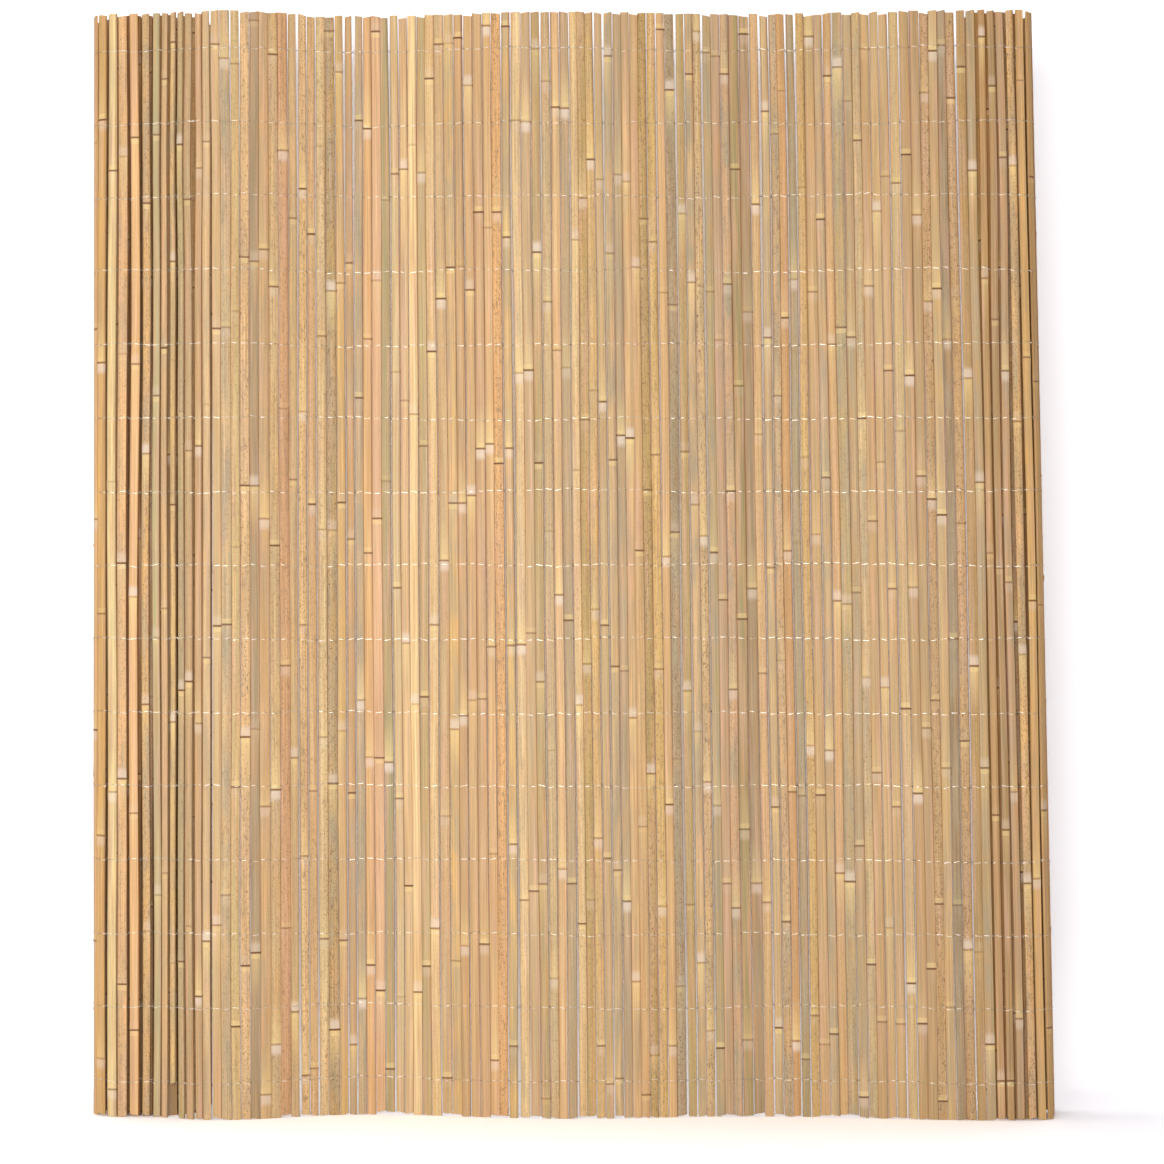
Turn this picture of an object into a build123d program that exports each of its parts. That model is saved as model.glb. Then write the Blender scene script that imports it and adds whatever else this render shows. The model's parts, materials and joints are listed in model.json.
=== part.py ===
"""Split-bamboo slat screening, partly unrolled: upright slats bound by rows of thin wire.

The screening stands on the ends of its slats like an open scroll. A gently wavy web faces the
front (-Y), and both its ends are rolled up behind it. Millimetres, +Z up.
"""

import os
from functools import cache
from math import cos, pi, radians, sin, tan
from random import Random

from build123d import *

os.makedirs("parts", exist_ok=True)

# Screening as a whole
slat_length = 1500
overall_width = 1320
right_lean_angle = 1.2

# Slats
slat_thickness = 3.5
slat_crown = 0.4
slat_gap = 2.2
left_roll_slat_width = 14.0
web_slat_width = 11.0
right_roll_slat_width = 11.5
width_spread = 1.3
end_unevenness = 4.0
short_slat_place = 123
short_slat_cut = 46

# Rolls, each a spiral whose turns lie one inside the other, a little flattened from lying;
# the squareness makes the outermost turn boxier than the round turns inside it
turn_pitch = 11
roll_flatness = 0.88
left_roll_radius = 82
left_roll_turns = 3.25
left_roll_depth = 27
left_roll_squareness = 2.6
right_roll_radius = 48
right_roll_turns = 1.9
right_roll_squareness = 1.6
spiral_step_angle = 15

# Crests and hollows of the web: distance from the left edge, then depth behind the front
first_crest = (175, 4)
first_hollow = (380, 46)
second_crest = (657, 14)
second_hollow = (895, 32)
curve_handle_share = 0.4

# Wire rows
row_spacing = 100
lowest_row_height = 50
wire_diameter = 0.8
wire_clearance = 0.2
roll_slats_per_bend = 2
web_slats_per_bend = 4
close_bend_zone = 100
least_bend = 0.05

# Plan outline, first measured from the left edge and the front, then centred on the origin
wire_reach = slat_thickness / 2 + wire_clearance + wire_diameter
left_roll_half_depth = left_roll_radius * roll_flatness
left_roll_centre = (left_roll_radius + wire_reach, left_roll_depth + left_roll_half_depth)
right_roll_centre = (
    overall_width - wire_reach - right_roll_radius,
    right_roll_radius * roll_flatness,
)
overall_depth = left_roll_centre[1] + left_roll_half_depth
origin_shift = Vector(-overall_width / 2, -overall_depth / 2)


def spiral_points(centre, outer_radius, turns, squareness, side):
    """Points of a roll's centre line, from where it leaves the web to its inner end."""
    step_count = round(turns * 360 / spiral_step_angle)
    points = []
    for step in range(step_count + 1):
        angle = step * spiral_step_angle
        across = sin(radians(angle))
        forward = cos(radians(angle))
        power = 2 + squareness * max(0, 1 - angle / 360)
        corner_swell = (abs(across) ** power + abs(forward) ** power) ** (-1 / power)
        radius = (outer_radius - turn_pitch * angle / 360) * corner_swell
        from_centre = Vector(side * radius * across, -radius * forward * roll_flatness)
        points.append(origin_shift + Vector(*centre) + from_centre)
    return points


left_spiral = spiral_points(
    left_roll_centre, left_roll_radius, left_roll_turns, left_roll_squareness, -1
)
right_spiral = spiral_points(
    right_roll_centre, right_roll_radius, right_roll_turns, right_roll_squareness, 1
)
crests_and_hollows = (first_crest, first_hollow, second_crest, second_hollow)
web_knots = [
    left_spiral[0],
    *(origin_shift + Vector(*place) for place in crests_and_hollows),
    right_spiral[0],
]

with BuildLine() as left_roll_line:
    Spline(*reversed(left_spiral))

with BuildLine() as web_line:
    for start, finish in zip(web_knots, web_knots[1:]):
        handle = Vector((finish.X - start.X) * curve_handle_share, 0)
        Bezier(start, start + handle, finish - handle, finish)

with BuildLine() as right_roll_line:
    Spline(*right_spiral)

centre_line = Wire([*left_roll_line.edges(), *web_line.edges(), *right_roll_line.edges()])
screening_length = centre_line.length
web_start = left_roll_line.edge().length
web_end = screening_length - right_roll_line.edge().length


@cache
def floor_frame(station):
    """Place, heading and outward direction of the centre line on the floor."""
    place = centre_line.position_at(station, PositionMode.LENGTH)
    heading = centre_line.tangent_at(station, PositionMode.LENGTH)
    return place, heading, Vector(heading.Y, -heading.X)


def lean_slope(station):
    """Sideways run of a slat for each millimetre of height, growing across the web."""
    share = (station - web_start) / (web_end - web_start)
    return tan(radians(right_lean_angle)) * min(max(share, 0), 1)


def plan_frame(station, height):
    """The same three at a height, where the leaning slats stand further left."""
    place, heading, outward = floor_frame(station)
    return place - Vector(height * lean_slope(station), 0), heading, outward


def mean_slat_width(station):
    """Slats are widest in the left roll."""
    if station < web_start:
        return left_roll_slat_width
    if station < web_end:
        return web_slat_width
    return right_roll_slat_width


def lay_out_slats():
    """Station and width of each slat, side by side along the whole centre line."""
    chance = Random(7)
    slats = []
    edge_station = slat_gap
    while True:
        width = mean_slat_width(edge_station) + chance.uniform(-width_spread, width_spread)
        if edge_station + width + slat_gap > screening_length:
            return slats
        slats.append((edge_station + width / 2, width))
        edge_station += width + slat_gap


def make_slat(station, width, foot, height):
    """One slat: flat inside, slightly rounded outside, cut level at both ends."""
    place, heading, _ = plan_frame(station, foot)
    slope = lean_slope(station)
    origin = (place.X, place.Y, foot)
    skin_edge = slat_crown - slat_thickness / 2
    with BuildPart() as slat:
        with BuildSketch(Plane(origin=origin, x_dir=heading, z_dir=(0, 0, 1))):
            with BuildLine():
                Polyline(
                    (width / 2, skin_edge),
                    (width / 2, slat_thickness / 2),
                    (-width / 2, slat_thickness / 2),
                    (-width / 2, skin_edge),
                )
                ThreePointArc(
                    (-width / 2, skin_edge),
                    (0, -slat_thickness / 2),
                    (width / 2, skin_edge),
                )
            make_face()
        extrude(amount=height * (1 + slope**2) ** 0.5, dir=(-slope, 0, 1))
    return slat.part.solid()


def make_slats(first_station, last_station):
    """The slats of one stretch, with feet and tops a little uneven."""
    solids = []
    for index, (station, width) in enumerate(slat_layout):
        if not first_station <= station < last_station:
            continue
        chance = Random(index)
        foot = max(0, chance.uniform(-end_unevenness, end_unevenness))
        top = slat_length - max(0, chance.uniform(-end_unevenness, end_unevenness))
        if index == short_slat_index:
            foot = short_slat_cut
        solids.append(make_slat(station, width, foot, top - foot))
    return solids


def find_short_slat():
    """Index of the one slat of the outer left turn that ends above the floor."""
    nearest = None
    for index, (station, _) in enumerate(slat_layout):
        place = floor_frame(station)[0] - origin_shift
        in_front = station > web_start - left_roll_radius * pi / 2
        distance = abs(place.X - short_slat_place)
        if in_front and (nearest is None or distance < nearest):
            nearest = distance
            found = index
    return found


slat_layout = lay_out_slats()
short_slat_index = find_short_slat()


def gap_station(slat):
    """Station of the middle of the gap before a slat, or after the last slat."""
    if slat == len(slat_layout):
        station, width = slat_layout[-1]
        return station + (width + slat_gap) / 2
    station, width = slat_layout[slat]
    return station - (width + slat_gap) / 2


def face_points(slat, height, side):
    """Both edges and the middle of a slat's outer (1) or inner (-1) face, in plan."""
    station, width = slat_layout[slat]
    place, heading, outward = plan_frame(station, height)
    middle = place + outward * side * slat_thickness / 2
    edge = middle - outward * slat_crown if side > 0 else middle
    return [edge - heading * width / 2, middle, edge + heading * width / 2]


def span_offset(first_slat, last_slat, height, side):
    """Direction and distance off the centre line at which a straight span clears its slats."""
    start = plan_frame(gap_station(first_slat), height)[0]
    finish = plan_frame(gap_station(last_slat + 1), height)[0]
    along = (finish - start).normalized()
    off_span = Vector(along.Y, -along.X) * side
    furthest = 0
    for slat in range(first_slat, last_slat + 1):
        for point in face_points(slat, height, side):
            furthest = max(furthest, (point - start).dot(off_span))
    return off_span, furthest + wire_clearance


def bend_shift(before, after, wire_share):
    """From the centre line to where two spans meet, on the near (0) or far (1) side of the wire."""
    first, first_distance = before
    second, second_distance = after
    first_distance += wire_diameter * wire_share
    second_distance += wire_diameter * wire_share
    bend = first.X * second.Y - first.Y * second.X
    if abs(bend) < least_bend:
        return (first + second).normalized() * max(first_distance, second_distance)
    across_first = Vector(second.Y, -second.X) * first_distance
    across_second = Vector(first.Y, -first.X) * second_distance
    return (across_first - across_second) * (1 / bend)


def strand_bends(first_slat, end_slat):
    """The slats before which a strand bends: every second one in a roll, fewer in the web."""
    bends = [first_slat]
    while bends[-1] < end_slat:
        in_web = web_start + close_bend_zone < gap_station(bends[-1]) < web_end - close_bend_zone
        step = web_slats_per_bend if in_web else roll_slats_per_bend
        bends.append(min(bends[-1] + step, end_slat))
    return bends


def make_strand(bends, height, side):
    """One strand of a wire row, lying against the slats that it binds."""
    spans = list(zip(bends, bends[1:]))
    offsets = [span_offset(first, following - 1, height, side) for first, following in spans]
    near_edge = []
    far_edge = []
    for slat, before, after in zip(bends, offsets[:1] + offsets, offsets + offsets[-1:]):
        place = plan_frame(gap_station(slat), height)[0]
        near_edge.append(place + bend_shift(before, after, 0))
        far_edge.append(place + bend_shift(before, after, 1))
    with BuildPart() as strand:
        with BuildSketch(Plane.XY.offset(height - wire_diameter / 2)):
            with BuildLine():
                Polyline(*near_edge, *reversed(far_edge), close=True)
            make_face()
        extrude(amount=wire_diameter)
    return strand.part.solid()


# Slats of the rolls and the web, each group in its own file
left_roll_middle = web_start / 2
web_length = web_end - web_start
stretches = {
    "left_roll_inner_slats": (0, left_roll_middle),
    "left_roll_outer_slats": (left_roll_middle, web_start),
    "web_left_slats": (web_start, web_start + web_length / 3),
    "web_middle_slats": (web_start + web_length / 3, web_end - web_length / 3),
    "web_right_slats": (web_end - web_length / 3, web_end),
    "right_roll_slats": (web_end, screening_length),
}
for name, (first_station, last_station) in stretches.items():
    with BuildPart() as slat_group:
        add(make_slats(first_station, last_station))
    slat_group.part.label = name
    export_step(slat_group.part, f"parts/{name}.step")

# Wire rows: an outer strand from end to end, and an inner strand behind the web
row_count = int((slat_length - 2 * lowest_row_height) / row_spacing) + 1
web_slats = [index for index, (station, _) in enumerate(slat_layout) if web_start < station < web_end]
outer_bends = strand_bends(0, len(slat_layout))
inner_bends = strand_bends(web_slats[0], web_slats[-1] + 1)
for row in range(row_count):
    row_height = lowest_row_height + row * row_spacing
    with BuildPart() as wire_row:
        add([make_strand(outer_bends, row_height, 1), make_strand(inner_bends, row_height, -1)])
    wire_row.part.label = f"wire_row_{row + 1:02d}"
    export_step(wire_row.part, f"parts/{wire_row.part.label}.step")
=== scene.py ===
"""Looks of the split-bamboo slat screening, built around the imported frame.

Every slat is rebuilt at its place in the frame as a split piece of cane with nodes and uneven edges,
and every wire row as two twisted strands. Metres, +Z up, front towards -Y.
"""

import json
from math import atan2, cos, exp, pi, sin
from random import Random

import bpy
from mathutils import Color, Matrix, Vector, noise

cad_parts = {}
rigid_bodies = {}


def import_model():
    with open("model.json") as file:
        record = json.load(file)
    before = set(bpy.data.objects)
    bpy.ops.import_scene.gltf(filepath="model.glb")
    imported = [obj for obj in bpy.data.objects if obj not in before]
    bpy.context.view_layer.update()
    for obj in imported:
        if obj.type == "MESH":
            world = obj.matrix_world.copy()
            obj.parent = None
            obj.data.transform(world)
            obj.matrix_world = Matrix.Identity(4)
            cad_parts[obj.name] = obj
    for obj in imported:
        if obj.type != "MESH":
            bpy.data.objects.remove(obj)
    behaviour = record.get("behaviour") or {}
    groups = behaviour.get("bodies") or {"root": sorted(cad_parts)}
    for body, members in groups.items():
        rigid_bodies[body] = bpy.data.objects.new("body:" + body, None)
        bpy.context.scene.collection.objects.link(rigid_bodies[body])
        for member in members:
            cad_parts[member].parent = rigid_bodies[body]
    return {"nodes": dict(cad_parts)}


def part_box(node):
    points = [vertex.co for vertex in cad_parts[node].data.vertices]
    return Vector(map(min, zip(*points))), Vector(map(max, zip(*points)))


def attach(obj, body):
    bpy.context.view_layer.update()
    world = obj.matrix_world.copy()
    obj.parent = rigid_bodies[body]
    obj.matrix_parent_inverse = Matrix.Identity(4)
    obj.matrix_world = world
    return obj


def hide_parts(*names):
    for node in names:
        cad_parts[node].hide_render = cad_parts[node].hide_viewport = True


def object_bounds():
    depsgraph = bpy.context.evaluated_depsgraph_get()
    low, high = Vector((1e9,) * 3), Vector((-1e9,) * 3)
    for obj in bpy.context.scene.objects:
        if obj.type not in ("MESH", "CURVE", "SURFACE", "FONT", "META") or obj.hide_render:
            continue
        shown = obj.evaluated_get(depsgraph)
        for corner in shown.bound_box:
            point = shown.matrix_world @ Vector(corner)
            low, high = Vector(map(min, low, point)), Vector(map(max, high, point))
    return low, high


for startup_object in list(bpy.data.objects):
    bpy.data.objects.remove(startup_object)
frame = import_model()
cad_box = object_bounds()

MM = 0.001

# Seeds of the random draws: one for each slat, counted from the first, and one for the gaps
FIRST_SLAT_SEED = 1000
PATTERN_SEEDS = (0, 100)
GAP_SEED = 31

# Photograph: its frame and the object's place in it in pixels, and the real width that one
# pixel covers at the web
PHOTO_SIZE = 1164
OBJECT_LEFT_OF_CENTRE = 10.3
OBJECT_ABOVE_CENTRE = 17
PIXEL = 1.349 * MM
CAMERA_DISTANCE = 4.0
SENSOR_WIDTH = 36.0

# Slats in the frame, and the distances by which they are told apart and put in order
SLAT_NODES = [
    "left_roll_inner_slats",
    "left_roll_outer_slats",
    "web_left_slats",
    "web_middle_slats",
    "web_right_slats",
    "right_roll_slats",
]
PLACE_DIGITS = 6
VERTEX_GRID = 1e-6
LIKELY_GAP = 3 * MM
NEIGHBOUR_REACH = 7 * MM
TURN_DISTANCE = (5 * MM, 20 * MM)
TURN_OVERLAP = 12 * MM
LEFT_ROLL_END = -0.512
RIGHT_ROLL_START = 0.565

# Rings of vertices along a slat, and its slanted ends
RING_STEP = 26 * MM
END_CLEARANCE = 2 * MM
END_SLANT = 1.2 * MM
SHARP_ANGLE = 0.7

# Gaps: how far each slat widens towards its neighbour, and how much gaps open at the top
CLOSE_GAP_SHARE = 0.64
CLOSE_GAP_EXTRA = (0.80 * MM, 1.02 * MM)
OPEN_GAP_EXTRA = (-0.3 * MM, 0.5 * MM)
ROLL_GAP_EXTRA = (-1.35 * MM, 0.2 * MM)
TOP_OPENING = 0.2 * MM
TOP_OPENING_POWER = 3

# How slats wander: on their own, and shared with their neighbours, which is more in the rolls
EDGE_WANDER = 0.35 * MM
SIDE_WANDER = 0.4 * MM
SHARED_WANDER = 2.2 * MM
SHARED_WANDER_STEP = 0.33
ROLL_WANDER = 1.6
DEPTH_WANDER = 0.7 * MM
WIDTH_WAVES = 2.3
WANDER_WAVES = 1.7
SHARED_WANDER_WAVES = 1.9

# Places of their own: slats parted near the left roll, and a thick knot at the right edge
PARTED_PLACE = -0.515
PARTED_HEIGHT = 1.29
PARTED_REACH = 0.10
PARTED_WIDTH = 4.5 * MM
PARTED_SPREAD = 0.07
KNOT_HEIGHT = 0.733
KNOT_SIZE = 3.5

# Noise lanes, so that one slat's width, place and colour change apart from each other
EDGE_BROWN_AND_SHADE_LANE = 3
SHARED_LANE = 5
WIDTH_LANE = 9
DEPTH_LANE = 40

# Cane nodes along each slat: the distances in NODE_RINGS are in millimetres
NODE_SPACING = (0.27, 0.40)
SPACING_CHANGE = (0.93, 1.07)
LOWEST_NODE = 0.02
NODE_TOP_CLEARANCE = 10 * MM
NODE_LINE = (0.15, 1.0)
NODE_BANDS = (0.1, 1.0)
NODE_BANDS_POWER = 2
NODE_RIDGE_HEIGHT = 0.55 * MM
NODE_RIDGE_WIDTH = 0.5 * MM
NODE_INNER_SHARE = 0.5
SHARP_RIDGE_REACH = 1.7 * MM
BROAD_RIDGE_REACH = 5 * MM
BROAD_RIDGE_PLACE = 6 * MM
BROAD_RIDGE_SHARE = 0.45
HALFWAY_STEP = 0.03 * MM
NODE_RINGS = (-24, -12, -7, -4, -2.2, -1.0, 0, 1.0, 2.2, 4, 7, 12, 24)
NODE_RING_CLEARANCE = NODE_RINGS[-1] * MM * 1.2

# Cross-section of a slat: across as a share of its width, outward as a share of its
# thickness, and whether the point lies on the cane's skin
CROWN = 0.13
SECTION = [
    (-0.50, 0.12, 1),
    (-0.45, 0.5 - CROWN * 0.81, 1),
    (-0.22, 0.5 - CROWN * 0.19, 1),
    (0.0, 0.5, 1),
    (0.22, 0.5 - CROWN * 0.19, 1),
    (0.45, 0.5 - CROWN * 0.81, 1),
    (0.50, 0.12, 1),
    (0.47, -0.5, 0),
    (0.17, -0.44, 0),
    (-0.17, -0.44, 0),
    (-0.47, -0.5, 0),
]
EDGE_ROUGHNESS = 0.18 * MM
INNER_ROUGHNESS = 0.12 * MM
ROUGHNESS_WAVES = 9
ROUGHNESS_SPREAD = 2
SECTION_EDGE = 0.3

# How a slat's random traits spread
SHADE_SPREAD = (0.88, 1.06)
WARMTH_SPREAD = 0.03
GREY_POWER = 2
SPECKLE_POWER = 3

# Brown towards the long edges, partly the cane's edge colour and partly painted shade between
# neighbouring slats, stronger towards the top, as shares from 0 to 1
EDGE_BROWN_AND_SHADE_SPREAD = (0.0, 0.65)
EDGE_VARIATION = 0.8
EDGE_WAVES = 3.1
FOOT_EDGE_BROWN_AND_SHADE = 0.4
ADDED_TOP_EDGE_BROWN_AND_SHADE = 0.75

# Places of the cane pattern, in millimetres: slats lie far apart in it
PATTERN_SLAT_STEP = 53
PATTERN_DEPTH = 4

# Values that a slat's mesh gives its material at each vertex
MESH_VALUES = {
    "cane": ("FLOAT_VECTOR", "vector"),
    "node_mm": ("FLOAT", "value"),
    "skin": ("FLOAT", "value"),
    "tint": ("FLOAT_COLOR", "color"),
    "traits": ("FLOAT_VECTOR", "vector"),
    "marks": ("FLOAT_VECTOR", "vector"),
}

# Colours, as display values from 0 to 255; the first number is how common a slat colour is
SLAT_TINTS = {
    "pale tan": (4, (228, 188, 134)),
    "light straw": (4, (240, 204, 146)),
    "golden": (2.8, (230, 188, 116)),
    "green grey": (1.8, (202, 178, 124)),
    "grey brown": (1.6, (198, 164, 120)),
    "pink tan": (1.4, (228, 182, 138)),
    "orange tan": (1.1, (226, 174, 114)),
}
PALE_TINTS = ["pale tan", "light straw", "golden"]
BRIGHTEST_LEVEL = 250
STREAK_WARM = (216, 160, 100)
BLUSH_PINK = (226, 176, 146)
WEATHERED_GREY = (180, 162, 130)
MOTTLE_BROWN = (146, 116, 82)
SPECK_BROWN = (96, 62, 36)
BLOOM_PALE = (240, 222, 202)
NODE_YELLOW = (248, 218, 150)
NODE_BROWN = (112, 70, 36)
EDGE_BROWN_AND_SHADE_COLOUR = (140, 92, 52)
INNER_STRAW = (232, 196, 140)
WIRE_DARK = (150, 138, 116)
WIRE_LIGHT = (255, 250, 238)

# Painted light and shade by place: the shares of red, green and blue that a slat's colour keeps there.
# Painted shade darkens and browns the web towards its right and browns the right roll, painted light
# brightens the left roll, and painted shade darkens the turns inside the rolls.
RIGHT_PAINTED_SHADE = (0.85, 0.83, 0.765)
LEFT_ROLL_PAINTED_LIGHT = (1.10, 1.07, 1.04)
RIGHT_ROLL_PAINTED_SHADE = (1.04, 0.98, 0.87)
ROLL_INSIDE_PAINTED_SHADE = (0.80, 0.70, 0.56)

# Patterns: waves for each millimetre across, through and along a slat, or for each metre of
# wire, then how many finer layers they have and how strong these are
FIBRES = ((1.7, 1.7, 0.014), 3.0, 0.6)
STREAKS = ((0.34, 0.4, 0.008), 1.0, 0.5)
BLOTCHES = ((0.10, 0.2, 0.016), 2.0, 0.5)
MOTTLES = ((0.30, 0.3, 0.07), 3.0, 0.65)
SPECKS = ((0.9, 0.9, 0.40), 1.0, 0.5)
BLUSHES = ((0.21, 0.2, 0.007), 1.0, 0.5)
BANDS = ((0.55, 0.5, 0.005), 1.0, 0.5)
SPANGLE = ((150, 150, 150), 2.0, 0.5)

# What each pattern does: its low and high level, and the result at each
FIBRE_SHADE = (0.32, 0.70, 0.86, 1.08)
FIBRE_ROUGHNESS = (0.3, 0.7, 0.40, 0.58)
FIBRE_RELIEF = 0.12 * MM
BAND_SHADE = (0.34, 0.68, 0.84, 1.10)
STREAK_SHARE = (0.42, 0.72, 0.0, 0.55)
BLUSH_SHARE = (0.50, 0.72, 0.0, 0.5)
GREY_SHARE = (0.35, 0.68, 0.15, 0.95)
MOTTLE_SHARE = (0.56, 0.70, 0.0, 0.75)
SPECK_SHARE = (0.60, 0.70, 0.0, 0.9)
SPANGLE_SHARE = (0.40, 0.62, 0.0, 1.0)
SPANGLE_ROUGHNESS = (0.3, 0.7, 0.28, 0.5)
INNER_STRAW_SHARE = 0.55
INNER_ADDED_ROUGHNESS = 0.25
BAMBOO_SPECULAR = 0.3

# Marks at a cane node: where each begins, is full, begins to fade and ends, in
# millimetres above the node, and how strong it is
PALE_BAND = (0.5, 2.0, 10.0, 17.0)
PALE_BAND_STRENGTH = 0.6
YELLOW_FADE = (-60.0, -12.0, -2.0, -0.5)
YELLOW_FADE_STRENGTH = 0.45
YELLOW_BLOCK = (-8.5, -8.0, -2.0, -0.5)
YELLOW_BLOCK_STRENGTH = 0.4
NODE_LINE_PLACE = (-1.9, -0.9, 0.6, 1.6)

# Sockets of a Mix node that mixes colours
MIX_FIRST = 6
MIX_SECOND = 7
MIX_RESULT = 2

# Stage and surroundings
STAGE_TONE = (230, 231, 236)
STAGE_BOOST = 2.35
BACKDROP_PLACE = 0.32
SWEEP_RADIUS = 0.2
SWEEP_STEPS = 16
STAGE_REACH = 6.0
STAGE_ROUGHNESS = 0.9
WORLD_TONE = (255, 250, 246)
WORLD_STRENGTH = 0.25

# Lamps: name, place, the point that it faces, size, and power in watts
LAMPS = [
    ("key", (-0.4, -4.3, 0.6), (0, 0, 0.75), 2.0, 126),
    ("side", (-2.5, -3.6, 1.0), (-0.3, 0, 0.75), 1.6, 46),
    ("top", (0, 0.25, 3.6), (0, 0.1, 0), 1.0, 30),
]

# Wire strands, how their rows wave, and where along a slat's half width they are bent
WIRE_RADIUS = 0.33 * MM
WIRE_SIDES = 4
WIRE_GAP = 0.05 * MM
ROW_WAVE = 4.5 * MM
WIRE_JITTER = 1.4 * MM
ROW_WAVES = 0.055
ROW_LANE_STEP = 7.3
ROW_LANE = 3.1
RIPPLE_WAVES = 4.7
RIPPLE_SHARE = 0.3
WIRE_PLACES = (-1.02, -0.8, 0, 0.8, 1.02)
CROSSING_DROP = 0.5
CROSSING_RISE = 1.05


def read_islands(mesh):
    """Vertices of each separate solid of a node's mesh."""
    parent = list(range(len(mesh.vertices)))

    def find(index):
        while parent[index] != index:
            parent[index] = parent[parent[index]]
            index = parent[index]
        return index

    first_at = {}
    for vertex in mesh.vertices:
        key = tuple(round(value / VERTEX_GRID) for value in vertex.co)
        if key in first_at:
            parent[find(vertex.index)] = find(first_at[key])
        else:
            first_at[key] = vertex.index
    for edge in mesh.edges:
        parent[find(edge.vertices[0])] = find(edge.vertices[1])
    islands = {}
    for vertex in mesh.vertices:
        islands.setdefault(find(vertex.index), []).append(vertex.co.copy())
    return list(islands.values())


def plan_corners(points):
    """The different places in plan of some points."""
    places = {(round(point.x, PLACE_DIGITS), round(point.y, PLACE_DIGITS)) for point in points}
    return [Vector(place) for place in places]


def read_slat(points, node):
    """Place, heading and size of one slat, measured on its solid."""
    middle_height = sum(point.z for point in points) / len(points)
    corners = plan_corners([point for point in points if point.z < middle_height])
    centroid = sum(corners, Vector((0, 0))) / len(corners)
    corners.sort(key=lambda corner: atan2(corner.y - centroid.y, corner.x - centroid.x))
    edges = zip(corners, corners[1:] + corners[:1])
    first, second = max(edges, key=lambda edge: (edge[1] - edge[0]).length)
    heading = (second - first).normalized()
    outward = Vector((heading.y, -heading.x))
    if (centroid - first).dot(outward) < 0:
        heading = -heading
        outward = -outward
    reach = max((corner - first).dot(outward) for corner in corners)
    foot_height = min(point.z for point in points)
    top_height = max(point.z for point in points)
    top_corners = plan_corners([point for point in points if point.z >= middle_height])
    top_centroid = sum(top_corners, Vector((0, 0))) / len(top_corners)
    slope = (top_centroid.x - centroid.x) / (top_height - foot_height)
    place = (first + second) / 2 + outward * reach / 2
    return {
        "node": node,
        "floor": place - Vector((foot_height * slope, 0)),
        "heading": heading,
        "outward": outward,
        "width": (second - first).length,
        "thickness": reach,
        "foot": foot_height,
        "top": top_height,
        "slope": slope,
    }


def walk_slats(slats):
    """All slats in order along the screening, from the left roll's inner end to the right one's."""
    start = min(slats, key=lambda slat: abs(slat["floor"].x) + abs(slat["outward"].x))
    order = [start]
    for direction in (1, -1):
        current = start
        left = [slat for slat in slats if slat not in order]
        while left:
            step = direction * (current["width"] + LIKELY_GAP)
            expected = current["floor"] + current["heading"] * step
            following = min(left, key=lambda slat: (slat["floor"] - expected).length)
            if (following["floor"] - expected).length > NEIGHBOUR_REACH:
                break
            left.remove(following)
            if direction > 0:
                order.append(following)
            else:
                order.insert(0, following)
            current = following
    return order


def cane_nodes(chance, foot, top):
    """Cane nodes along one slat: height, size, and how dark their line and pale their bands are."""
    spacing = chance.uniform(*NODE_SPACING)
    height = foot + chance.uniform(LOWEST_NODE, spacing)
    nodes = []
    while height < top - NODE_TOP_CLEARANCE:
        line = chance.uniform(*NODE_LINE)
        bands = chance.uniform(*NODE_BANDS) ** NODE_BANDS_POWER
        nodes.append({"height": height, "size": 1.0, "line": line, "bands": bands})
        height += spacing * chance.uniform(*SPACING_CHANGE)
    return nodes


def painted_light_by_place(slat):
    """Shares of red, green and blue by place: painted shade inside the rolls and on the right roll,
    painted shade that darkens and browns the web towards its right, and painted light on the left roll.
    """
    if slat["inside"]:
        return ROLL_INSIDE_PAINTED_SHADE
    if slat["node"].startswith("left_roll"):
        return LEFT_ROLL_PAINTED_LIGHT
    if slat["node"].startswith("right_roll"):
        return RIGHT_ROLL_PAINTED_SHADE
    across = max(slat["floor"].x / cad_box[1][0], 0)
    return [1 - (1 - share) * across for share in RIGHT_PAINTED_SHADE]


def give_character(slat, index):
    """Random traits of one slat: cane nodes, end slants, colour, age and which way up it grew."""
    chance = Random(FIRST_SLAT_SEED + index)
    slat["index"] = index
    slat["seed"] = chance.uniform(*PATTERN_SEEDS)
    slat["nodes"] = cane_nodes(chance, slat["foot"], slat["top"])
    slat["foot_slant"] = chance.uniform(-1, 1) * END_SLANT
    slat["top_slant"] = chance.uniform(-1, 1) * END_SLANT
    choices = list(SLAT_TINTS) if slat["node"].startswith("web") else PALE_TINTS
    name = chance.choices(choices, weights=[SLAT_TINTS[choice][0] for choice in choices])[0]
    shade = chance.uniform(*SHADE_SPREAD)
    warmth = chance.uniform(-WARMTH_SPREAD, WARMTH_SPREAD)
    # Painted light and shade by place, multiplied into the slat's colour
    tone = painted_light_by_place(slat)
    changes = (shade * (1 + warmth), shade, shade * (1 - warmth))
    levels = [level * share * change for level, share, change in zip(SLAT_TINTS[name][1], tone, changes)]
    slat["tint"] = colour(*(min(level, BRIGHTEST_LEVEL) for level in levels))
    slat["grey"] = chance.random() ** GREY_POWER
    slat["speckle"] = chance.random() ** SPECKLE_POWER
    slat["growth"] = chance.choice((1, -1))


def thicken_edge_knot():
    """The slat at the right edge has one thick cane node, which shows in the outline."""
    edge_slat = max(slats, key=lambda slat: slat["floor"].x)
    knot = min(edge_slat["nodes"], key=lambda node: abs(node["height"] - KNOT_HEIGHT))
    knot["height"] = KNOT_HEIGHT
    knot["size"] = KNOT_SIZE


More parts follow.
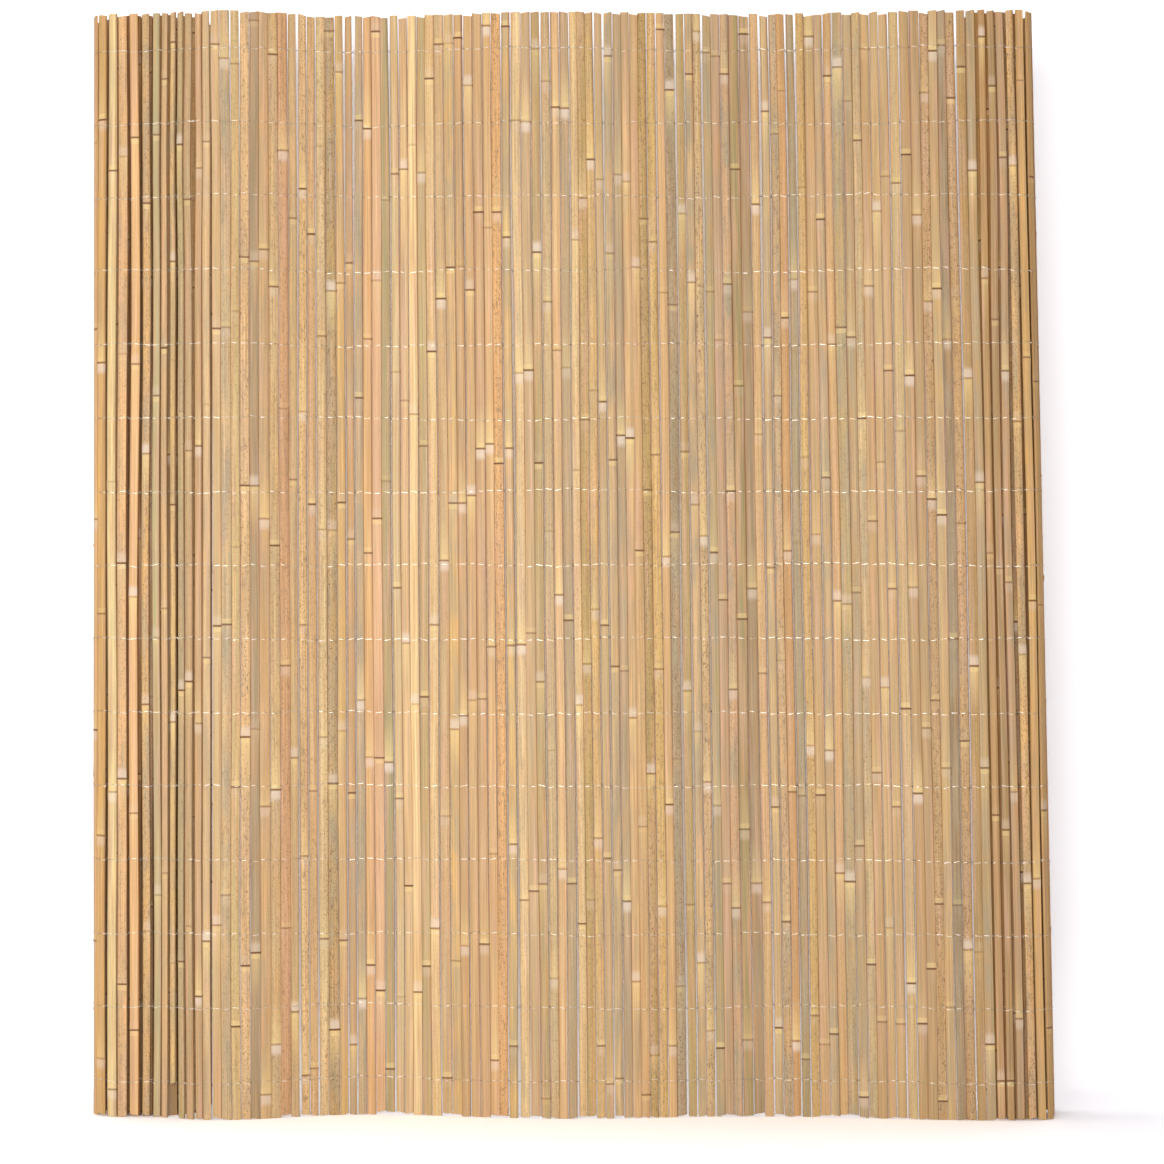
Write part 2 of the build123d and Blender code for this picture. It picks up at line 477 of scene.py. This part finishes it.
def inside_roll(slat):
    """Whether another turn of the roll lies outside a slat."""
    if slat["node"].startswith("web"):
        return False
    for other in slats:
        away = other["floor"] - slat["floor"]
        ahead = away.dot(slat["outward"])
        near = TURN_DISTANCE[0] < ahead < TURN_DISTANCE[1]
        if near and abs(away.dot(slat["heading"])) < TURN_OVERLAP:
            return True
    return False


def before_roll(slat):
    """Whether a slat belongs to a roll or stands right before one."""
    return not LEFT_ROLL_END < slat["floor"].x < RIGHT_ROLL_START


def share_gaps():
    """Widens slats towards most of their neighbours, because no two gaps are alike."""
    chance = Random(GAP_SEED)
    slats[0].update(left_extra=0, left_brown=0)
    slats[-1].update(right_extra=0, right_brown=0)
    for slat, following in zip(slats, slats[1:]):
        if before_roll(slat):
            extra = chance.uniform(*ROLL_GAP_EXTRA)
        elif chance.random() < CLOSE_GAP_SHARE:
            extra = chance.uniform(*CLOSE_GAP_EXTRA)
        else:
            extra = chance.uniform(*OPEN_GAP_EXTRA)
        # Each gap also gets how brown its two edges are, partly painted shade between the slats
        slat.update(right_extra=extra, right_brown=chance.uniform(*EDGE_BROWN_AND_SHADE_SPREAD))
        following.update(left_extra=extra, left_brown=chance.uniform(*EDGE_BROWN_AND_SHADE_SPREAD))


def parting(slat, height):
    """Push along the screening, away from the place where two slats stand parted."""
    across = slat["floor"].x - PARTED_PLACE
    if abs(across) > PARTED_SPREAD or slat["outward"].y > 0:
        return 0
    nearness = exp(-(((height - PARTED_HEIGHT) / PARTED_REACH) ** 2))
    push = PARTED_WIDTH / 2 * nearness * (1 - abs(across) / PARTED_SPREAD)
    return push if across > 0 else -push


def wander(slat, height):
    """How far a slat's axis strays at a height: along the screening, and outward."""
    where = Vector((slat["seed"], 0, height * WANDER_WAVES))
    shared_across = slat["index"] * SHARED_WANDER_STEP
    shared = noise.noise(Vector((shared_across, SHARED_LANE, height * SHARED_WANDER_WAVES)))
    if before_roll(slat):
        shared *= ROLL_WANDER
    sideways = shared * SHARED_WANDER + noise.noise(where) * SIDE_WANDER + parting(slat, height)
    outward = noise.noise(where + Vector((0, DEPTH_LANE, 0))) * DEPTH_WANDER
    return sideways, outward


def slat_axis(slat, height):
    """Plan place of a slat's axis at a height."""
    sideways, outward = wander(slat, height)
    place = slat["floor"] + Vector((slat["slope"] * height, 0))
    return place + slat["heading"] * sideways + slat["outward"] * outward


def ring_heights(slat):
    """Heights of a slat's cross-sections, close together at each cane node."""
    heights = {slat["foot"], slat["top"]}
    count = round((slat["top"] - slat["foot"]) / RING_STEP)
    for step in range(1, count):
        heights.add(slat["foot"] + (slat["top"] - slat["foot"]) * step / count)
    for node in slat["nodes"]:
        middle = node["height"]
        clear = {height for height in heights if abs(height - middle) > NODE_RING_CLEARANCE}
        heights = clear | {slat["foot"], slat["top"]}
        for offset in NODE_RINGS:
            height = middle + offset * MM
            if slat["foot"] + END_CLEARANCE < height < slat["top"] - END_CLEARANCE:
                heights.add(height)
    # Two rings close together halfway between cane nodes, where the nearest one changes
    for lower, upper in zip(slat["nodes"], slat["nodes"][1:]):
        halfway = (lower["height"] + upper["height"]) / 2
        heights.update((halfway - HALFWAY_STEP, halfway + HALFWAY_STEP))
    return sorted(heights)


def edge_brown_and_shade(slat, across, height):
    """How brown the skin is near a slat's long edges, from 0 to 1: partly the cane's edge colour and
    partly painted shade between neighbouring slats, growing towards the top.
    """
    nearness = max(0, abs(across) - SECTION_EDGE) / (0.5 - SECTION_EDGE)
    strength = slat["left_brown"] if across < 0 else slat["right_brown"]
    strength *= FOOT_EDGE_BROWN_AND_SHADE + ADDED_TOP_EDGE_BROWN_AND_SHADE * height / slat["top"]
    change = noise.noise(Vector((slat["seed"] + across, EDGE_BROWN_AND_SHADE_LANE, height * EDGE_WAVES)))
    return min(max(strength * nearness * (1 + change * EDGE_VARIATION), 0), 1)


def node_swell(distance):
    """How far a cane node stands proud, from 0 to 1, at a distance above it in metres."""
    sharp = exp(-((distance / SHARP_RIDGE_REACH) ** 2))
    broad = exp(-(((distance - BROAD_RIDGE_PLACE) / BROAD_RIDGE_REACH) ** 2))
    return sharp + BROAD_RIDGE_SHARE * broad


def ring_points(slat, height, swell):
    """A slat's cross-section at a height, with uneven edges, and slanted at both ends."""
    axis = slat_axis(slat, height)
    spread = noise.noise(Vector((slat["seed"], WIDTH_LANE, height * WIDTH_WAVES)))
    half_width = slat["width"] / 2 + spread * EDGE_WANDER + swell * NODE_RIDGE_WIDTH
    opening = TOP_OPENING * (height / slat["top"]) ** TOP_OPENING_POWER
    points = []
    for across, through, is_skin in SECTION:
        where = (slat["seed"] + across * ROUGHNESS_SPREAD, through * ROUGHNESS_SPREAD)
        rough = noise.noise(Vector((*where, height * ROUGHNESS_WAVES)))
        extra = (slat["left_extra"] if across < 0 else slat["right_extra"]) - opening
        sideways = across * 2 * (half_width + extra)
        if abs(across) > SECTION_EDGE:
            sideways += rough * EDGE_ROUGHNESS
        outward = through * slat["thickness"]
        if is_skin:
            outward += swell * NODE_RIDGE_HEIGHT
        else:
            outward += rough * INNER_ROUGHNESS - swell * NODE_RIDGE_HEIGHT * NODE_INNER_SHARE
        place = axis + slat["heading"] * sideways + slat["outward"] * outward
        level = height
        if height == slat["foot"]:
            level += abs(slat["foot_slant"]) + across * 2 * slat["foot_slant"]
        if height == slat["top"]:
            level -= abs(slat["top_slant"]) + across * 2 * slat["top_slant"]
        points.append((place.x, place.y, level))
    return points


def add_ring_faces(faces, base, ring_count, ring_size):
    """Adds the sides and both end caps of a row of rings of vertices."""
    for ring in range(ring_count - 1):
        lower = base + ring * ring_size
        upper = lower + ring_size
        for corner in range(ring_size):
            following = (corner + 1) % ring_size
            faces.append((lower + corner, lower + following, upper + following, upper + corner))
    faces.append(tuple(reversed(range(base, base + ring_size))))
    last = base + (ring_count - 1) * ring_size
    faces.append(tuple(range(last, last + ring_size)))


def build_slats(name, members):
    """One mesh of all the slats of a CAD node, with the values that its material reads."""
    vertices = []
    faces = []
    values = {attribute: [] for attribute in MESH_VALUES}
    for slat in members:
        heights = ring_heights(slat)
        add_ring_faces(faces, len(vertices), len(heights), len(SECTION))
        for height in heights:
            node = min(slat["nodes"], key=lambda node: abs(height - node["height"]))
            distance = (height - node["height"]) * slat["growth"]
            swell = node_swell(distance / node["size"]) * node["size"]
            vertices.extend(ring_points(slat, height, swell))
            for across, through, is_skin in SECTION:
                pattern_across = across * slat["width"] / MM + slat["index"] * PATTERN_SLAT_STEP
                values["cane"].extend((pattern_across, through * PATTERN_DEPTH, height / MM))
                values["node_mm"].append(distance / MM)
                values["skin"].append(float(is_skin))
                values["tint"].extend(slat["tint"])
                # Edge brown, partly painted shade between neighbouring slats
                brown = edge_brown_and_shade(slat, across, height)
                values["traits"].extend((slat["grey"], slat["speckle"], brown))
                values["marks"].extend((node["line"], node["bands"], 0))
    mesh = bpy.data.meshes.new(name)
    mesh.from_pydata(vertices, [], faces)
    for attribute, (kind, field) in MESH_VALUES.items():
        mesh.attributes.new(attribute, kind, "POINT").data.foreach_set(field, values[attribute])
    return add_piece(mesh, name)


def add_piece(mesh, name):
    """A smooth-shaded object of a mesh, in the scene and riding on the one body."""
    mesh.validate()
    mesh.shade_smooth()
    mesh.set_sharp_from_angle(angle=SHARP_ANGLE)
    piece = bpy.data.objects.new(name, mesh)
    bpy.context.scene.collection.objects.link(piece)
    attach(piece, "root")
    return piece


def row_height(row_middle, row, index):
    """Height of a wire row at a slat: rows wander a little up and down."""
    where = Vector((index * ROW_WAVES, row * ROW_LANE_STEP, ROW_LANE))
    ripple = noise.noise(where * RIPPLE_WAVES) * RIPPLE_SHARE
    return row_middle + (noise.noise(where) + ripple) * ROW_WAVE


def strand_points(row_middle, row, first_side):
    """Points of one strand, outside one slat and inside the next, crossing over in each gap."""
    points = []
    side = first_side
    chance = Random(row * 2 + first_side)
    for index, slat in enumerate(slats):
        height = row_height(row_middle, row, index) + chance.uniform(-WIRE_JITTER, WIRE_JITTER)
        slant = chance.uniform(-WIRE_JITTER, WIRE_JITTER)
        axis = slat_axis(slat, height)
        reach = slat["thickness"] / 2 + WIRE_RADIUS + WIRE_GAP
        crown = CROWN * slat["thickness"] if side > 0 else 0
        half = slat["width"] / 2
        for share in WIRE_PLACES:
            drop = crown * share * share + (CROSSING_DROP * reach if abs(share) > 1 else 0)
            place = axis + slat["heading"] * half * share + slat["outward"] * side * (reach - drop)
            points.append(Vector((place.x, place.y, height + slant * share)))
        if index + 1 < len(slats):
            following = slats[index + 1]
            next_height = row_height(row_middle, row, index + 1)
            next_axis = slat_axis(following, next_height)
            here = axis + slat["heading"] * half
            there = next_axis - following["heading"] * following["width"] / 2
            middle = (here + there) / 2
            level = (height + next_height) / 2 + side * WIRE_RADIUS * CROSSING_RISE
            points.append(Vector((middle.x, middle.y, level)))
        side = -side
    return points


def tube(points, vertices, faces):
    """Adds a thin tube along level points to a mesh's vertices and faces."""
    add_ring_faces(faces, len(vertices), len(points), WIRE_SIDES)
    for number, point in enumerate(points):
        before = points[max(number - 1, 0)]
        after = points[min(number + 1, len(points) - 1)]
        along = (after - before).normalized()
        level_side = along.cross(Vector((0, 0, 1))).normalized()
        upright = level_side.cross(along)
        for corner in range(WIRE_SIDES):
            angle = 2 * pi * (corner + 0.5) / WIRE_SIDES
            offset = (level_side * cos(angle) + upright * sin(angle)) * WIRE_RADIUS
            vertices.append(tuple(point + offset))


def build_wire_row(row, node):
    """The two twisted strands of one wire row."""
    low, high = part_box(node)
    row_middle = (low[2] + high[2]) / 2
    vertices = []
    faces = []
    for first_side in (1, -1):
        tube(strand_points(row_middle, row, first_side), vertices, faces)
    mesh = bpy.data.meshes.new(f"twisted_{node}")
    mesh.from_pydata(vertices, [], faces)
    return add_piece(mesh, f"twisted_{node}")


class Shader:
    """Short names for adding and joining the nodes of one material."""

    def __init__(self, name):
        self.material = bpy.data.materials.new(name)
        self.material.use_nodes = True
        self.tree = self.material.node_tree
        self.principled = self.tree.nodes["Principled BSDF"]

    def set(self, socket, value):
        """Gives an input either a fixed value or a link."""
        if isinstance(value, bpy.types.NodeSocket):
            self.tree.links.new(value, socket)
        else:
            socket.default_value = value

    def attribute(self, name, output="Fac"):
        node = self.tree.nodes.new("ShaderNodeAttribute")
        node.attribute_name = name
        return node.outputs[output]

    def math(self, operation, first, second):
        node = self.tree.nodes.new("ShaderNodeMath")
        node.operation = operation
        self.set(node.inputs[0], first)
        self.set(node.inputs[1], second)
        return node.outputs[0]

    def times(self, first, second):
        return self.math("MULTIPLY", first, second)

    def scaled(self, vector, scale):
        node = self.tree.nodes.new("ShaderNodeVectorMath")
        node.operation = "MULTIPLY"
        self.set(node.inputs[0], vector)
        node.inputs[1].default_value = scale
        return node.outputs[0]

    def pattern(self, place, waves, detail, roughness):
        node = self.tree.nodes.new("ShaderNodeTexNoise")
        self.set(node.inputs["Vector"], self.scaled(place, waves))
        node.inputs["Scale"].default_value = 1.0
        node.inputs["Detail"].default_value = detail
        node.inputs["Roughness"].default_value = roughness
        return node.outputs["Fac"]

    def ranged(self, value, low, high, to_low=0.0, to_high=1.0):
        node = self.tree.nodes.new("ShaderNodeMapRange")
        self.set(node.inputs["Value"], value)
        node.inputs["From Min"].default_value = low
        node.inputs["From Max"].default_value = high
        node.inputs["To Min"].default_value = to_low
        node.inputs["To Max"].default_value = to_high
        return node.outputs["Result"]

    def mix(self, share, first, second, blend="MIX"):
        node = self.tree.nodes.new("ShaderNodeMix")
        node.data_type = "RGBA"
        node.blend_type = blend
        self.set(node.inputs[0], share)
        self.set(node.inputs[MIX_FIRST], first)
        self.set(node.inputs[MIX_SECOND], second)
        return node.outputs[MIX_RESULT]

    def plateau(self, distance, start, full, fading, end):
        """Rises from 0 to 1 between start and full, and falls to 0 between fading and end."""
        rise = self.ranged(distance, start, full)
        fall = self.ranged(distance, fading, end, 1.0, 0.0)
        return self.times(rise, fall)

    def parts(self, vector):
        node = self.tree.nodes.new("ShaderNodeSeparateXYZ")
        self.set(node.inputs[0], vector)
        return node.outputs

    def bump(self, height, distance):
        node = self.tree.nodes.new("ShaderNodeBump")
        node.inputs["Distance"].default_value = distance
        self.set(node.inputs["Height"], height)
        return node.outputs[0]


def colour(red, green, blue):
    """A display colour from 0 to 255 as the linear colour that shaders use."""
    display = Color((red / 255, green / 255, blue / 255))
    return (*display.from_srgb_to_scene_linear(), 1.0)


def bamboo_material():
    """Split cane: fibre streaks, mottling, specks, cane nodes and a paler inner side."""
    shader = Shader("split_bamboo")
    cane = shader.attribute("cane", "Vector")
    node_mm = shader.attribute("node_mm")
    skin = shader.attribute("skin")
    # Traits: greyness, speckle and edge brown, the last partly painted shade between slats
    grey, speckle, brown = shader.parts(shader.attribute("traits", "Vector"))
    line_share, band_share, _ = shader.parts(shader.attribute("marks", "Vector"))
    fibres = shader.pattern(cane, *FIBRES)
    streaks = shader.pattern(cane, *STREAKS)
    blotches = shader.pattern(cane, *BLOTCHES)
    mottles = shader.pattern(cane, *MOTTLES)
    specks = shader.pattern(cane, *SPECKS)
    blushes = shader.pattern(cane, *BLUSHES)
    bands = shader.pattern(cane, *BANDS)

    base = shader.attribute("tint", "Color")
    base = shader.mix(shader.ranged(streaks, *STREAK_SHARE), base, colour(*STREAK_WARM))
    base = shader.mix(shader.ranged(blushes, *BLUSH_SHARE), base, colour(*BLUSH_PINK))
    grey_share = shader.times(grey, shader.ranged(blotches, *GREY_SHARE))
    base = shader.mix(grey_share, base, colour(*WEATHERED_GREY))
    shade = shader.times(shader.ranged(fibres, *FIBRE_SHADE), shader.ranged(bands, *BAND_SHADE))
    base = shader.mix(1.0, base, shade, "MULTIPLY")
    mottle_share = shader.times(shader.ranged(mottles, *MOTTLE_SHARE), speckle)
    base = shader.mix(mottle_share, base, colour(*MOTTLE_BROWN))
    speck_share = shader.times(shader.ranged(specks, *SPECK_SHARE), speckle)
    base = shader.mix(speck_share, base, colour(*SPECK_BROWN))

    marks = (
        (PALE_BAND, band_share, PALE_BAND_STRENGTH, BLOOM_PALE),
        (YELLOW_FADE, band_share, YELLOW_FADE_STRENGTH, NODE_YELLOW),
        (YELLOW_BLOCK, line_share, YELLOW_BLOCK_STRENGTH, NODE_YELLOW),
    )
    for place, share, strength, tone in marks:
        mark = shader.times(shader.times(shader.plateau(node_mm, *place), share), strength)
        base = shader.mix(mark, base, colour(*tone))
    # Brown long edges: partly the cane's edge colour, partly painted shade between neighbouring slats
    base = shader.mix(brown, base, colour(*EDGE_BROWN_AND_SHADE_COLOUR))
    line = shader.times(shader.plateau(node_mm, *NODE_LINE_PLACE), line_share)
    base = shader.mix(line, base, colour(*NODE_BROWN))

    inner = shader.mix(INNER_STRAW_SHARE, base, colour(*INNER_STRAW))
    shader.set(shader.principled.inputs["Base Color"], shader.mix(skin, inner, base))
    inner_rough = shader.times(shader.math("SUBTRACT", 1.0, skin), INNER_ADDED_ROUGHNESS)
    rough = shader.math("ADD", shader.ranged(fibres, *FIBRE_ROUGHNESS), inner_rough)
    shader.set(shader.principled.inputs["Roughness"], rough)
    shader.set(shader.principled.inputs["Normal"], shader.bump(fibres, FIBRE_RELIEF))
    shader.principled.inputs["Specular IOR Level"].default_value = BAMBOO_SPECULAR
    return shader.material


def wire_material():
    """Galvanised wire, dull with brighter spangle."""
    shader = Shader("galvanised_wire")
    place = shader.tree.nodes.new("ShaderNodeTexCoord").outputs["Object"]
    spangle = shader.pattern(place, *SPANGLE)
    tone = shader.mix(shader.ranged(spangle, *SPANGLE_SHARE), colour(*WIRE_DARK), colour(*WIRE_LIGHT))
    shader.set(shader.principled.inputs["Base Color"], tone)
    shader.set(shader.principled.inputs["Roughness"], shader.ranged(spangle, *SPANGLE_ROUGHNESS))
    shader.principled.inputs["Metallic"].default_value = 1.0
    return shader.material


def stage_material():
    """A matt pale sheet that looks whiter than it lights the object, and is clear from behind."""
    shader = Shader("stage_sheet")
    seen = shader.tree.nodes.new("ShaderNodeLightPath").outputs["Is Camera Ray"]
    red, green, blue, _ = colour(*STAGE_TONE)
    boosted = (red * STAGE_BOOST, green * STAGE_BOOST, blue * STAGE_BOOST, 1.0)
    shader.set(shader.principled.inputs["Base Color"], shader.mix(seen, colour(*STAGE_TONE), boosted))
    shader.principled.inputs["Roughness"].default_value = STAGE_ROUGHNESS
    shader.principled.inputs["Specular IOR Level"].default_value = 0.0
    clear = shader.tree.nodes.new("ShaderNodeBsdfTransparent")
    behind = shader.tree.nodes.new("ShaderNodeNewGeometry").outputs["Backfacing"]
    surface = shader.tree.nodes.new("ShaderNodeMixShader")
    shader.set(surface.inputs[0], behind)
    shader.set(surface.inputs[1], shader.principled.outputs[0])
    shader.set(surface.inputs[2], clear.outputs[0])
    shader.set(shader.tree.nodes["Material Output"].inputs["Surface"], surface.outputs[0])
    return shader.material


def add_stage_sheet():
    """Floor and backdrop as one sheet, joined by a curve."""
    profile = [(-STAGE_REACH, 0.0)]
    for step in range(SWEEP_STEPS + 1):
        angle = pi / 2 * step / SWEEP_STEPS
        back = BACKDROP_PLACE - SWEEP_RADIUS * (1 - sin(angle))
        profile.append((back, SWEEP_RADIUS * (1 - cos(angle))))
    profile.append((BACKDROP_PLACE, STAGE_REACH))
    corners = [(side * STAGE_REACH, back, height) for back, height in profile for side in (-1, 1)]
    strips = [(2 * step, 2 * step + 1, 2 * step + 3, 2 * step + 2) for step in range(len(profile) - 1)]
    mesh = bpy.data.meshes.new("stage_sheet")
    mesh.from_pydata(corners, [], strips)
    mesh.shade_smooth()
    mesh.materials.append(stage_material())
    sheet = bpy.data.objects.new("stage_sheet", mesh)
    bpy.context.scene.collection.objects.link(sheet)


def add_area_light(name, place, target, size, power):
    """A soft square lamp that faces a point."""
    lamp = bpy.data.lights.new(name, "AREA")
    lamp.shape = "SQUARE"
    lamp.size = size
    lamp.energy = power
    holder = bpy.data.objects.new(name, lamp)
    holder.location = place
    holder.rotation_euler = (Vector(target) - Vector(place)).to_track_quat("-Z", "Y").to_euler()
    bpy.context.scene.collection.objects.link(holder)


def add_camera():
    """Level camera in front of the web, framed as the photograph is."""
    camera = bpy.data.cameras.new("photo_camera")
    camera.sensor_width = SENSOR_WIDTH
    camera.lens = SENSOR_WIDTH * CAMERA_DISTANCE / (PHOTO_SIZE * PIXEL)
    holder = bpy.data.objects.new("photo_camera", camera)
    across = OBJECT_LEFT_OF_CENTRE * PIXEL
    height = (cad_box[0][2] + cad_box[1][2]) / 2 - OBJECT_ABOVE_CENTRE * PIXEL
    holder.location = (across, cad_box[0][1] - CAMERA_DISTANCE, height)
    holder.rotation_euler = (pi / 2, 0, 0)
    bpy.context.scene.collection.objects.link(holder)
    bpy.context.scene.camera = holder


def set_world():
    """Even pale surroundings."""
    world = bpy.data.worlds.new("surroundings")
    world.use_nodes = True
    background = world.node_tree.nodes["Background"]
    background.inputs["Color"].default_value = colour(*WORLD_TONE)
    background.inputs["Strength"].default_value = WORLD_STRENGTH
    bpy.context.scene.world = world


slats = []
for name in SLAT_NODES:
    for island in read_islands(frame["nodes"][name].data):
        slats.append(read_slat(island, name))
slats = walk_slats(slats)
for index, slat in enumerate(slats):
    slat["inside"] = inside_roll(slat)
    give_character(slat, index)
share_gaps()
thicken_edge_knot()

bamboo = bamboo_material()
for name in SLAT_NODES:
    members = [slat for slat in slats if slat["node"] == name]
    piece = build_slats(f"split_{name}", members)
    piece.data.materials.append(bamboo)
    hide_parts(name)

wire = wire_material()
wire_nodes = sorted(name for name in frame["nodes"] if name.startswith("wire_row"))
for row, node in enumerate(wire_nodes):
    piece = build_wire_row(row, node)
    piece.data.materials.append(wire)
    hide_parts(node)

add_camera()
set_world()
add_stage_sheet()
for lamp in LAMPS:
    add_area_light(*lamp)

scene = bpy.context.scene
scene.view_settings.view_transform = "Standard"
